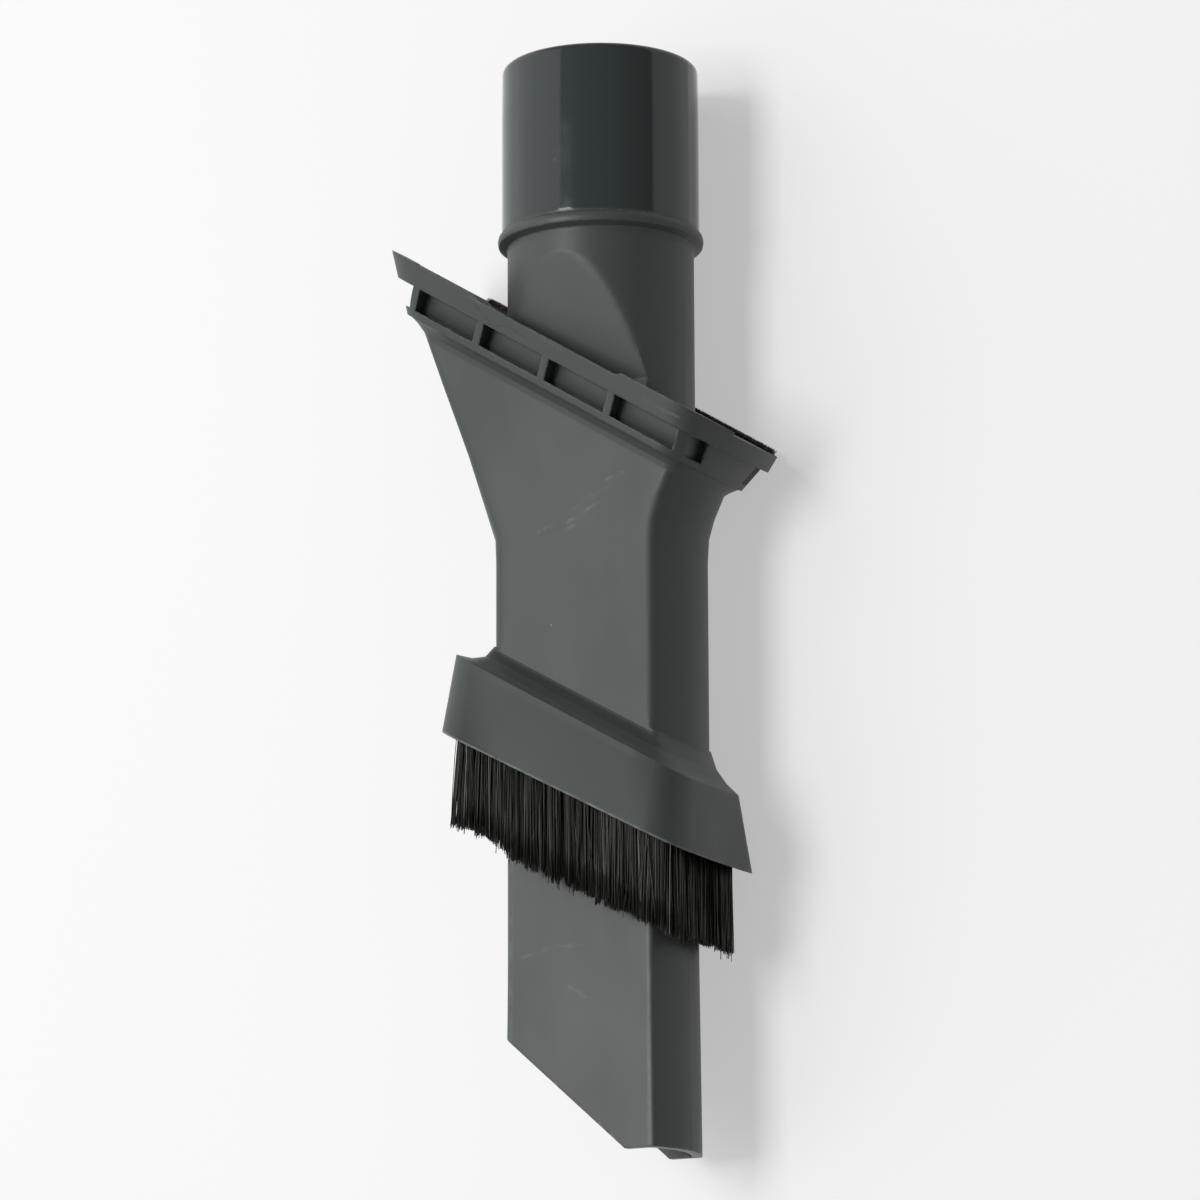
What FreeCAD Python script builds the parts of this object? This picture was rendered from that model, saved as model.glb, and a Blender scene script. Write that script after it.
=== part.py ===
"""Vacuum crevice tool with a sliding upholstery and brush sleeve.

The tool lies along Y. Its origin is the centre of the socket's mouth, +Y points out of the mouth, X runs
across the broad faces and +Z points out of the near broad face. All sizes are in millimetres.
"""
import math
import os

import FreeCAD
import Part
import Sketcher
from FreeCAD import Placement, Rotation, Vector

doc = FreeCAD.newDocument("vacuum_crevice_tool")
dims = doc.addObject("Spreadsheet::Sheet", "dims")

# Driving sizes. Positions along the tool are measured from the socket's mouth, toward the tip as minus.
SIZES = {
    # turned end of the nozzle
    "socket_rad": 17.75,
    "mouth_rad": 17.65,
    "mouth_round": 1.0,
    "mouth_taper_y": -9.0,
    "ring_rad": 18.5,
    "ring_foot": 0.6,
    "ring_bevel": 0.16,
    "ring_edge": 0.75,
    "ring_top_y": -30.7,
    "ring_mid_y": -32.4,
    "ring_low_y": -34.1,
    "neck_rad": 16.75,
    "bore_rad": 16.0,
    "bore_depth": 34.0,
    "duct_rad": 15.2,
    "duct_taper": 1.2,
    # flat blade of the nozzle
    "arch_top_y": -37.9,
    "arch_low_y": -61.0,
    "blade_half": 9.4,
    "duct_half": 7.9,
    "blade_round": 1.1,
    "flare_y": -163.0,
    "flare_rad": 17.05,
    "tip_y": -197.0,
    "tip_corner_x": 8.6,
    "tip_left_y": -174.5,
    # column of the sleeve
    "column_bore_rad": 17.4,
    "column_bore_half": 9.7,
    "bore_start_y": -78.0,
    "hollow_low_x": 14.4,
    "hollow_low_y": -89.0,
    "hollow_inset": 0.9,
    "hollow_lap": 0.5,
    "column_end_y": -131.5,
    "column_end_slope": 0.53,
    "column_end_over": 0.8,
    # pockets between the ribs of the upholstery head
    "pocket_width": 13.7,
    "rib_width": 1.55,
    "pocket_start": -32.2,
    "pocket_floor_top": 14.5,
    "pocket_floor_low": 12.8,
    "end_pocket_width": 11.0,
    "end_floor_top": 8.6,
    "end_floor_low": 7.4,
    "end_floor_rise": 6.0,
    "notch_start": -33.8,
    "notch_bulge": 3.2,
    # rim of the upholstery head: the near lip stands higher than the rest
    "near_lip_z": 7.0,
    "rim_drop": 0.7,
    "lip_dip": 0.8,
    "lip_dip_left": -14.3,
    "lip_dip_right": 12.5,
    "lip_dip_ramp": 2.0,
    # lint strip in the far lip
    "strip_left": -38.0,
    "strip_right": 30.5,
    "strip_inner_z": 14.2,
    "strip_outer_z": 16.8,
    "strip_tall": 2.6,
    "strip_proud": 1.0,
    # bristles in the skirt
    "ring_in_left": 19.9,
    "ring_in_right": 18.98,
    "ring_in_half": 11.62,
    "ring_in_corner": 2.6,
    "ring_out_left": 23.0,
    "ring_out_right": 20.3,
    "ring_out_half": 13.45,
    "ring_out_corner": 4.4,
    "row_gap": 0.3,
    "bunch_pitch": 2.2,
    "bunch_end": 1.3,
    "bunch_split": 4.2,
    "trim_y": -151.3,
    "trim_slope": 0.508,
}

# Cross sections of the sleeve. Each is a flat slab section with round corners, on a plane that stands across
# the tool and is tilted about Z. y is where that plane crosses the axis; left and right are the ends in X;
# half is the half depth in Z; side is the radius of the end arcs and corner that of the corners.
SECTIONS = {
    "col": {"y": -91.5, "tilt": 0.0, "left": 18.8, "right": 18.8, "half": 11.2, "side": 18.8, "corner": 1.6},
    "thra": {"y": -87.1, "tilt": 0.0, "left": 18.95, "right": 19.1, "half": 11.2, "side": 18.8, "corner": 1.6},
    "thrb": {"y": -78.2, "tilt": 17.1, "left": 24.0, "right": 19.9, "half": 11.2, "side": 20.0, "corner": 1.7},
    "thrc": {"y": -70.9, "tilt": 26.1, "left": 29.0, "right": 21.2, "half": 11.2, "side": 21.0, "corner": 1.8},
    "thrd": {"y": -63.6, "tilt": 31.7, "left": 33.9, "right": 22.8, "half": 11.2, "side": 22.0, "corner": 1.9},
    "flange": {"y": -64.6, "tilt": 31.7, "left": 34.7, "right": 23.6, "half": 15.1, "side": 36.0, "corner": 5.2},
    "waist": {"y": -56.6, "tilt": 31.7, "left": 35.9, "right": 28.2, "half": 18.3, "side": 38.0, "corner": 5.6},
    "eave": {"y": -58.6, "tilt": 31.7, "left": 36.0, "right": 28.4, "half": 17.65, "side": 38.0, "corner": 5.8},
    "lip": {"y": -54.1, "tilt": 31.7, "left": 36.8, "right": 30.3, "half": 19.5, "side": 40.0, "corner": 6.2},
    "inb": {"y": -71.5, "tilt": 31.7, "left": 27.0, "right": 17.6, "half": 9.7, "side": 60.0, "corner": 1.2},
    "inc": {"y": -53.9, "tilt": 31.7, "left": 33.6, "right": 23.6, "half": 14.4, "side": 60.0, "corner": 2.0},
    "cova": {"y": -67.6, "tilt": 31.7, "left": 31.8, "right": 21.1, "half": 11.15, "side": 22.0, "corner": 1.9},
    "covb": {"y": -66.3, "tilt": 31.7, "left": 32.4, "right": 22.1, "half": 11.65, "side": 24.0, "corner": 2.3},
    "covc": {"y": -65.2, "tilt": 31.7, "left": 33.3, "right": 22.9, "half": 13.1, "side": 29.0, "corner": 3.8},
    "covd": {"y": -64.4, "tilt": 31.7, "left": 34.3, "right": 23.4, "half": 14.9, "side": 35.0, "corner": 5.0},
    "shoa": {"y": -116.0, "tilt": 29.5, "left": 18.7, "right": 18.7, "half": 11.15, "side": 20.0, "corner": 1.6},
    "shob": {"y": -118.6, "tilt": 29.6, "left": 20.0, "right": 19.3, "half": 11.45, "side": 24.0, "corner": 2.2},
    "shoc": {"y": -120.2, "tilt": 29.8, "left": 22.0, "right": 20.6, "half": 12.3, "side": 36.0, "corner": 3.6},
    "ridge": {"y": -121.1, "tilt": 29.9, "left": 24.6, "right": 22.4, "half": 13.6, "side": 70.0, "corner": 5.6},
    "rim": {"y": -135.0, "tilt": 28.0, "left": 25.9, "right": 23.6, "half": 18.3, "side": 80.0, "corner": 7.4},
    "rooma": {"y": -126.4, "tilt": 29.2, "left": 24.0, "right": 21.3, "half": 13.9, "side": 80.0, "corner": 4.8},
    "roomb": {"y": -136.0, "tilt": 28.0, "left": 24.9, "right": 22.3, "half": 17.2, "side": 80.0, "corner": 6.2},
}

row = 1
for name, value in SIZES.items():
    dims.set(f"A{row}", name)
    dims.set(f"B{row}", str(value))
    dims.setAlias(f"B{row}", name)
    row += 1
for name, section in SECTIONS.items():
    for key, value in section.items():
        dims.set(f"A{row}", f"{name}_{key}")
        dims.set(f"B{row}", str(value))
        dims.setAlias(f"B{row}", f"{name}_{key}")
        row += 1
doc.recompute()


def cell(alias):
    """Value of one cell of the sheet."""
    return float(dims.get(alias))


def new_body(label):
    """Body with the label of its node."""
    body = doc.addObject("PartDesign::Body", label)
    body.Label = label
    return body


def plane_of(body, role):
    """Origin plane or axis of a body, by its role."""
    return next(item for item in body.Origin.OriginFeatures if item.Role == role)


def sketch_on(body, name, role):
    """Empty sketch on one of the body's own origin planes."""
    sketch = body.newObject("Sketcher::SketchObject", name)
    sketch.AttachmentSupport = [(plane_of(body, role), "")]
    sketch.MapMode = "FlatFace"
    sketch.Visibility = False
    return sketch


def across(body, name, section):
    """Sketch plane across the tool: local x runs to the right along the tilted plane, local y is Z."""
    sketch = sketch_on(body, name, "XZ_Plane")
    sketch.AttachmentOffset = Placement(
        Vector(0, 0, -cell(f"{section}_y")),
        Rotation(Vector(0, -1, 0), max(cell(f"{section}_tilt"), 0.001)),
    )
    sketch.setExpression("AttachmentOffset.Base.z", f"-dims.{section}_y")
    if cell(f"{section}_tilt") > 0:
        sketch.setExpression("AttachmentOffset.Rotation.Angle", f"dims.{section}_tilt")
    return sketch


def square_across(body, name, alias):
    """Sketch plane square to the tool at the position in one cell."""
    sketch = sketch_on(body, name, "XZ_Plane")
    sketch.AttachmentOffset = Placement(Vector(0, 0, -cell(alias)), Rotation())
    sketch.setExpression("AttachmentOffset.Base.z", f"-dims.{alias}")
    return sketch


def bind(sketch, kind, refs, value, expression):
    """Constraint whose value follows an expression of the sheet."""
    index = sketch.addConstraint(Sketcher.Constraint(kind, *refs, value))
    sketch.setExpression(f"Constraints[{index}]", expression)


def outline(sketch, corners):
    """Closed outline of straight lines. Each corner is (x, x expression, y, y expression)."""
    count = len(corners)
    first = sketch.GeometryCount
    for i in range(count):
        a = corners[i]
        b = corners[(i + 1) % count]
        sketch.addGeometry(Part.LineSegment(Vector(a[0], a[2], 0), Vector(b[0], b[2], 0)), False)
    for i in range(count):
        nxt = (i + 1) % count
        sketch.addConstraint(Sketcher.Constraint("Coincident", first + i, 2, first + nxt, 1))
    for i in range(count):
        x, x_text, y, y_text = corners[i]
        if x_text == "0":
            sketch.addConstraint(Sketcher.Constraint("PointOnObject", first + i, 1, -2))
        else:
            bind(sketch, "DistanceX", (-1, 1, first + i, 1), x, x_text)
        if y_text == "0":
            sketch.addConstraint(Sketcher.Constraint("PointOnObject", first + i, 1, -1))
        else:
            bind(sketch, "DistanceY", (-1, 1, first + i, 1), y, y_text)


def corner_at(x_text, y_text, x, y):
    """One corner of an outline, with its two expressions and their values."""
    return (x, x_text, y, y_text)


def slab(sketch, section):
    """Flat section with round corners: two level lines, two end arcs and four corner arcs, all tangent."""
    tilt = math.radians(cell(f"{section}_tilt"))
    left = cell(f"{section}_left") / math.cos(tilt)
    right = cell(f"{section}_right") / math.cos(tilt)
    half = cell(f"{section}_half")
    side = cell(f"{section}_side")
    corner = cell(f"{section}_corner")
    rise = half - corner
    reach = math.sqrt((side - corner) ** 2 - rise**2)
    right_mid = right - side
    left_mid = side - left
    swing = math.atan2(rise, reach)
    right_turn = right_mid + reach
    left_turn = left_mid - reach
    normal = Vector(0, 0, 1)

    def arc(x, y, radius, start, end):
        sketch.addGeometry(Part.ArcOfCircle(Part.Circle(Vector(x, y, 0), normal, radius), start, end), False)

    arc(right_mid, 0, side, -swing, swing)
    arc(right_turn, rise, corner, swing, math.pi / 2)
    sketch.addGeometry(Part.LineSegment(Vector(right_turn, half, 0), Vector(left_turn, half, 0)), False)
    arc(left_turn, rise, corner, math.pi / 2, math.pi - swing)
    arc(left_mid, 0, side, math.pi - swing, math.pi + swing)
    arc(left_turn, -rise, corner, math.pi + swing, 1.5 * math.pi)
    sketch.addGeometry(Part.LineSegment(Vector(left_turn, -half, 0), Vector(right_turn, -half, 0)), False)
    arc(right_turn, -rise, corner, 1.5 * math.pi, 2 * math.pi - swing)

    for i in range(8):
        sketch.addConstraint(Sketcher.Constraint("Tangent", i, 2, (i + 1) % 8, 1))
    sketch.addConstraint(Sketcher.Constraint("Horizontal", 2))
    sketch.addConstraint(Sketcher.Constraint("Horizontal", 6))
    sketch.addConstraint(Sketcher.Constraint("PointOnObject", 0, 3, -1))
    sketch.addConstraint(Sketcher.Constraint("PointOnObject", 4, 3, -1))
    for i in (3, 5, 7):
        sketch.addConstraint(Sketcher.Constraint("Equal", 1, i))
    slope = f"cos(dims.{section}_tilt * 1 deg)"
    bind(sketch, "Radius", (0,), side, f"dims.{section}_side")
    bind(sketch, "Radius", (4,), side, f"dims.{section}_side")
    bind(sketch, "Radius", (1,), corner, f"dims.{section}_corner")
    bind(sketch, "DistanceX", (-1, 1, 0, 3), right_mid, f"dims.{section}_right / {slope} - dims.{section}_side")
    bind(sketch, "DistanceX", (-1, 1, 4, 3), left_mid, f"dims.{section}_side - dims.{section}_left / {slope}")
    bind(sketch, "DistanceY", (-1, 1, 2, 1), half, f"dims.{section}_half")
    bind(sketch, "DistanceY", (6, 1, -1, 1), half, f"dims.{section}_half")


def slab_sketch(body, section, name=None):
    """Sketch of one cross section of the sleeve on its own plane."""
    sketch = across(body, name or f"{section}_section", section)
    slab(sketch, section)
    return sketch


def loft(body, kind, name, sketches):
    """Straight loft through sketches."""
    feature = body.newObject(f"PartDesign::{kind}Loft", name)
    feature.Profile = sketches[0]
    feature.Sections = sketches[1:]
    feature.Ruled = True
    feature.Closed = False
    return feature


def pocket(body, name, sketch, through=True, length=None, backwards=False, midplane=False):
    """Cut along the sketch's normal."""
    feature = body.newObject("PartDesign::Pocket", name)
    feature.Profile = sketch
    if through:
        feature.Type = "ThroughAll"
    else:
        feature.Type = "Length"
        feature.Length = 10
        feature.setExpression("Length", length)
    feature.Midplane = midplane
    feature.Reversed = backwards
    return feature


def fillet(body, name, edges, radius):
    """Round edges of the body as it stands."""
    base = body.Tip
    feature = body.newObject("PartDesign::Fillet", name)
    feature.Base = (base, edges)
    feature.Radius = 1
    feature.setExpression("Radius", radius)
    return feature


def flat_round(sketch, rad, rad_text, half, half_text):
    """Circle about the axis with its top and bottom cut level: two arcs and two lines."""
    reach = math.sqrt(rad**2 - half**2)
    angle = math.atan2(half, reach)
    circle = Part.Circle(Vector(0, 0, 0), Vector(0, 0, 1), rad)
    sketch.addGeometry(Part.ArcOfCircle(circle, -angle, angle), False)
    sketch.addGeometry(Part.LineSegment(Vector(reach, half, 0), Vector(-reach, half, 0)), False)
    sketch.addGeometry(Part.ArcOfCircle(circle, math.pi - angle, math.pi + angle), False)
    sketch.addGeometry(Part.LineSegment(Vector(-reach, -half, 0), Vector(reach, -half, 0)), False)
    for i in range(4):
        sketch.addConstraint(Sketcher.Constraint("Coincident", i, 2, (i + 1) % 4, 1))
    sketch.addConstraint(Sketcher.Constraint("Coincident", 0, 3, -1, 1))
    sketch.addConstraint(Sketcher.Constraint("Coincident", 2, 3, -1, 1))
    sketch.addConstraint(Sketcher.Constraint("Horizontal", 1))
    sketch.addConstraint(Sketcher.Constraint("Horizontal", 3))
    bind(sketch, "Radius", (0,), rad, rad_text)
    bind(sketch, "Radius", (2,), rad, rad_text)
    bind(sketch, "DistanceY", (-1, 1, 1, 1), half, half_text)
    bind(sketch, "DistanceY", (3, 1, -1, 1), half, half_text)


def quartered_circle(sketch, rad, rad_text, half, half_text):
    """Full circle about the axis in four arcs, parted at the height of the blade's duct."""
    reach = math.sqrt(rad**2 - half**2)
    angle = math.atan2(half, reach)
    circle = Part.Circle(Vector(0, 0, 0), Vector(0, 0, 1), rad)
    turns = (-angle, angle, math.pi - angle, math.pi + angle, 2 * math.pi - angle)
    for i in range(4):
        sketch.addGeometry(Part.ArcOfCircle(circle, turns[i], turns[i + 1]), False)
    for i in range(4):
        sketch.addConstraint(Sketcher.Constraint("Coincident", i, 2, (i + 1) % 4, 1))
        sketch.addConstraint(Sketcher.Constraint("Coincident", i, 3, -1, 1))
    bind(sketch, "Radius", (0,), rad, rad_text)
    bind(sketch, "DistanceY", (-1, 1, 0, 2), half, half_text)
    bind(sketch, "DistanceY", (0, 1, -1, 1), half, half_text)
    bind(sketch, "DistanceY", (-1, 1, 2, 1), half, half_text)
    bind(sketch, "DistanceY", (2, 2, -1, 1), half, half_text)


def quarter_round(rad, fall):
    """Points of a rounded rim at the socket's mouth, as three narrow cones of equal turn."""
    points = []
    for turn in (30, 60, 90):
        angle = math.radians(turn)
        x = cell(rad) - cell(fall) * (1 - math.sin(angle))
        y = cell(fall) * (math.cos(angle) - 1)
        text_x = f"dims.{rad} - dims.{fall} * (1 - sin({turn} deg))"
        points.append((text_x, f"dims.{fall} * (cos({turn} deg) - 1)", x, y))
    return points


def turned_end(body):
    """Round socket, bead ring and neck, turned in one with the round stock of the blade."""
    sketch = sketch_on(body, "turned_profile", "XY_Plane")
    v = cell
    points = [
        ("0", "0", 0, 0),
        ("dims.mouth_rad - dims.mouth_round", "0", v("mouth_rad") - v("mouth_round"), 0),
        *quarter_round("mouth_rad", "mouth_round"),
        ("dims.socket_rad", "dims.mouth_taper_y", v("socket_rad"), v("mouth_taper_y")),
        ("dims.socket_rad", "dims.ring_top_y", v("socket_rad"), v("ring_top_y")),
        ("dims.neck_rad", "dims.ring_low_y", v("neck_rad"), v("ring_low_y")),
        ("dims.neck_rad", "dims.flare_y", v("neck_rad"), v("flare_y")),
        ("dims.flare_rad", "dims.tip_y", v("flare_rad"), v("tip_y")),
        ("0", "dims.tip_y", 0, v("tip_y")),
    ]
    outline(sketch, [corner_at(*p) for p in points])
    turned = body.newObject("PartDesign::Revolution", "turned_stock")
    turned.Profile = sketch
    turned.ReferenceAxis = (sketch, ["V_Axis"])
    turned.Angle = 360

    bead = sketch_on(body, "ring_profile", "XY_Plane")
    foot = v("socket_rad") - v("ring_foot")
    shoulder = v("ring_rad") - v("ring_bevel")
    points = [
        ("dims.socket_rad - dims.ring_foot", "dims.ring_top_y", foot, v("ring_top_y")),
        ("dims.ring_rad - dims.ring_bevel", "dims.ring_mid_y + dims.ring_edge", shoulder, v("ring_mid_y") + v("ring_edge")),
        ("dims.ring_rad", "dims.ring_mid_y", v("ring_rad"), v("ring_mid_y")),
        ("dims.ring_rad - dims.ring_bevel", "dims.ring_mid_y - dims.ring_edge", shoulder, v("ring_mid_y") - v("ring_edge")),
        ("dims.neck_rad - dims.ring_foot", "dims.ring_low_y", v("neck_rad") - v("ring_foot"), v("ring_low_y")),
    ]
    outline(bead, [corner_at(*p) for p in points])
    ring = body.newObject("PartDesign::Revolution", "bead_ring")
    ring.Profile = bead
    ring.ReferenceAxis = (bead, ["V_Axis"])
    ring.Angle = 360


def blade_faces(body):
    """Broad faces of the blade and the sloping flats that arch into the round neck, on both sides."""
    sketch = sketch_on(body, "flats_profile", "YZ_Plane")
    v = cell
    for sign, mark in ((1, ""), (-1, "-")):
        points = [
            ("dims.arch_top_y", f"{mark}dims.neck_rad", v("arch_top_y"), sign * v("neck_rad")),
            ("dims.arch_top_y", f"{mark}(dims.neck_rad + 8)", v("arch_top_y"), sign * (v("neck_rad") + 8)),
            ("dims.tip_y - 5", f"{mark}(dims.neck_rad + 8)", v("tip_y") - 5, sign * (v("neck_rad") + 8)),
            ("dims.tip_y - 5", f"{mark}dims.blade_half", v("tip_y") - 5, sign * v("blade_half")),
            ("dims.arch_low_y", f"{mark}dims.blade_half", v("arch_low_y"), sign * v("blade_half")),
        ]
        outline(sketch, [corner_at(*p) for p in points])
    pocket(body, "flats", sketch, midplane=True)


def round_blade_edges(body):
    """Soft long edges where the broad faces meet the round narrow sides."""
    doc.recompute()
    shape = body.Tip.Shape
    names = []
    for i, edge in enumerate(shape.Edges):
        box = edge.BoundBox
        level = abs(abs(box.Center.z) - cell("blade_half")) < 0.05 and box.ZLength < 0.05
        long = box.YLength > 20 and box.YMax < cell("arch_low_y") + 1
        if level and long:
            names.append(f"Edge{i + 1}")
    fillet(body, "blade_edges", names, "dims.blade_round")


def nozzle_duct(body):
    """Socket bore with its stop, and the duct that narrows from the round neck into the flat blade."""
    v = cell
    sketch = sketch_on(body, "bore_profile", "XY_Plane")
    points = [
        ("0", "0", 0, 0),
        ("dims.bore_rad", "0", v("bore_rad"), 0),
        ("dims.bore_rad", "-dims.bore_depth", v("bore_rad"), -v("bore_depth")),
        ("dims.duct_rad", "-dims.bore_depth - dims.duct_taper", v("duct_rad"), -v("bore_depth") - v("duct_taper")),
        ("dims.duct_rad", "dims.arch_top_y", v("duct_rad"), v("arch_top_y")),
        ("0", "dims.arch_top_y", 0, v("arch_top_y")),
    ]
    outline(sketch, [corner_at(*p) for p in points])
    bore = body.newObject("PartDesign::Groove", "socket_bore")
    bore.Profile = sketch
    bore.ReferenceAxis = (sketch, ["V_Axis"])
    bore.Angle = 360

    upper = square_across(body, "duct_round", "arch_top_y")
    quartered_circle(upper, v("duct_rad"), "dims.duct_rad", v("duct_half"), "dims.duct_half")
    lower = square_across(body, "duct_flat", "arch_low_y")
    flat_round(lower, v("duct_rad"), "dims.duct_rad", v("duct_half"), "dims.duct_half")
    loft(body, "Subtractive", "duct_narrowing", [upper, lower])

    flat = square_across(body, "duct_blade", "arch_low_y")
    flat_round(flat, v("duct_rad"), "dims.duct_rad", v("duct_half"), "dims.duct_half")
    pocket(body, "blade_duct", flat, backwards=True)


def slanted_tip(body):
    """Diagonal mouth of the blade with a short square end on the right."""
    v = cell
    sketch = sketch_on(body, "tip_profile", "XY_Plane")
    wide = v("neck_rad") + 3
    points = [
        ("dims.tip_corner_x", "dims.tip_y", v("tip_corner_x"), v("tip_y")),
        ("dims.tip_corner_x", "dims.tip_y - 6", v("tip_corner_x"), v("tip_y") - 6),
        ("-(dims.neck_rad + 3)", "dims.tip_y - 6", -wide, v("tip_y") - 6),
        ("-(dims.neck_rad + 3)", "dims.tip_left_y + 0.888 * 3", -wide, v("tip_left_y") + 0.888 * 3),
    ]
    outline(sketch, [corner_at(*p) for p in points])
    pocket(body, "diagonal_mouth", sketch, midplane=True)


def make_nozzle():
    """Crevice nozzle: socket, ring, neck, arched flats, hollow blade and diagonal mouth in one moulding."""
    body = new_body("crevice_nozzle")
    turned_end(body)
    blade_faces(body)
    round_blade_edges(body)
    nozzle_duct(body)
    slanted_tip(body)
    return body


def skirt(body):
    """Skirt for the bristles: cavetto shoulder, ridge, flared wall and the hollow behind the rim."""
    shoulder = [slab_sketch(body, name) for name in ("shoa", "shob", "shoc", "ridge")]
    loft(body, "Additive", "shoulder", shoulder)
    wall = [slab_sketch(body, "ridge", "ridge_again"), slab_sketch(body, "rim")]
    loft(body, "Additive", "skirt_wall", wall)
    room = [slab_sketch(body, "rooma"), slab_sketch(body, "roomb")]
    loft(body, "Subtractive", "skirt_room", room)


def column(body):
    """Flat column with round narrow sides. It reaches down inside the skirt as the bristles' inner wall."""
    v = cell
    sketch = slab_sketch(body, "col")
    feature = body.newObject("PartDesign::Pad", "column")
    feature.Profile = sketch
    feature.Type = "Length"
    feature.Length = 60
    feature.setExpression("Length", "dims.col_y - dims.rim_y + 14")
    feature.Reversed = False

    ends = sketch_on(body, "column_end", "XY_Plane")
    wide = v("col_right") + v("column_end_over")
    slope = v("column_end_slope")
    low = v("rim_y") - 20
    points = [
        (
            "-(dims.col_right + dims.column_end_over)",
            "dims.column_end_y + dims.column_end_slope * (dims.col_right + dims.column_end_over)",
            -wide,
            v("column_end_y") + slope * wide,
        ),
        (
            "dims.col_right + dims.column_end_over",
            "dims.column_end_y - dims.column_end_slope * (dims.col_right + dims.column_end_over)",
            wide,
            v("column_end_y") - slope * wide,
        ),
        ("dims.col_right + dims.column_end_over", "dims.rim_y - 20", wide, low),
        ("-(dims.col_right + dims.column_end_over)", "dims.rim_y - 20", -wide, low),
    ]
    outline(ends, [corner_at(*p) for p in points])
    cut = pocket(body, "column_end_cut", ends, through=False, length="2 * dims.col_half + 2", midplane=True)
    return cut


def throat(body):
    """Throat that widens obliquely from the column to the head: left flank straight, right flank hollow."""
    names = ("col", "thra", "thrb", "thrc", "thrd")
    sketches = [slab_sketch(body, name, f"{name}_throat") for name in names]
    loft(body, "Additive", "throat", sketches)


def cove(body):
    """Hollow moulding that rises from the throat to the flange's outer edge."""
    names = ("cova", "covb", "covc", "covd")
    loft(body, "Additive", "cove_under_flange", [slab_sketch(body, name) for name in names])


def rib_band(body):
    """Band that carries the ribs. Its foot is the flange that overhangs the throat."""
    loft(body, "Additive", "rib_band", [slab_sketch(body, "flange"), slab_sketch(body, "waist")])


def pocket_outline(sketch, index, width, floor, rise, side, shift):
    """One pocket in a plane parallel to the lip: from a floor that may slope up to the right, out past the face."""
    v = cell
    drift = shift * math.sin(math.radians(v("eave_tilt")))
    start = v("pocket_start") + index * (v("pocket_width") + v("rib_width")) + drift
    text = f"dims.pocket_start + {index} * (dims.pocket_width + dims.rib_width)"
    text = f"{text} + {shift} * sin(dims.eave_tilt * 1 deg)"
    mark = "" if side > 0 else "-"
    wide = v(width)
    base = side * v(floor)
    high = base + side * (v(rise) if rise else 0)
    high_text = f"{mark}(dims.{floor} + dims.{rise})" if rise else f"{mark}dims.{floor}"
    top = side * (v("lip_half") + 4)
    points = [
        (text, f"{mark}dims.{floor}", start, base),
        (f"{text} + dims.{width}", high_text, start + wide, high),
        (f"{text} + dims.{width}", f"{mark}(dims.lip_half + 4)", start + wide, top),
        (text, f"{mark}(dims.lip_half + 4)", start, top),
    ]
    outline(sketch, [corner_at(*p) for p in points])


def shifted(body, name, shift):
    """Plane parallel to the lip, at a shift along the axis from the underside of the lip band."""
    sketch = sketch_on(body, name, "XZ_Plane")
    sketch.AttachmentOffset = Placement(
        Vector(0, 0, -cell("eave_y") - shift),
        Rotation(Vector(0, -1, 0), cell("eave_tilt")),
    )
    sketch.setExpression("AttachmentOffset.Base.z", f"-dims.eave_y - ({shift})")
    sketch.setExpression("AttachmentOffset.Rotation.Angle", "dims.eave_tilt")
    return sketch


def pockets(body):
    """Open pockets between square ribs, on both broad sides. The lip band closes them at the top.

    The four on the left are square and alike. The last, by the closed right end, is deep, and its floor
    slopes up and out to the right.
    """
    square = ("pocket_width", "pocket_floor_top", "pocket_floor_low", None)
    last = ("end_pocket_width", "end_floor_top", "end_floor_low", "end_floor_rise")
    for side, word in ((1, "near"), (-1, "far")):
        for index, (width, floor_top, floor_low, rise) in enumerate([square] * 4 + [last]):
            top = shifted(body, f"{word}_pocket_{index}_top", 1.0)
            pocket_outline(top, index, width, floor_top, rise, side, 1.0)
            low = shifted(body, f"{word}_pocket_{index}_sill", -4.5)
            pocket_outline(low, index, width, floor_low, rise, side, -4.5)
            loft(body, "Subtractive", f"{word}_pocket_{index}", [top, low])


def lip_band(body):
    """Lip band that overhangs the ribs."""
    loft(body, "Additive", "lip_band", [slab_sketch(body, "eave"), slab_sketch(body, "lip")])


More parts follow.
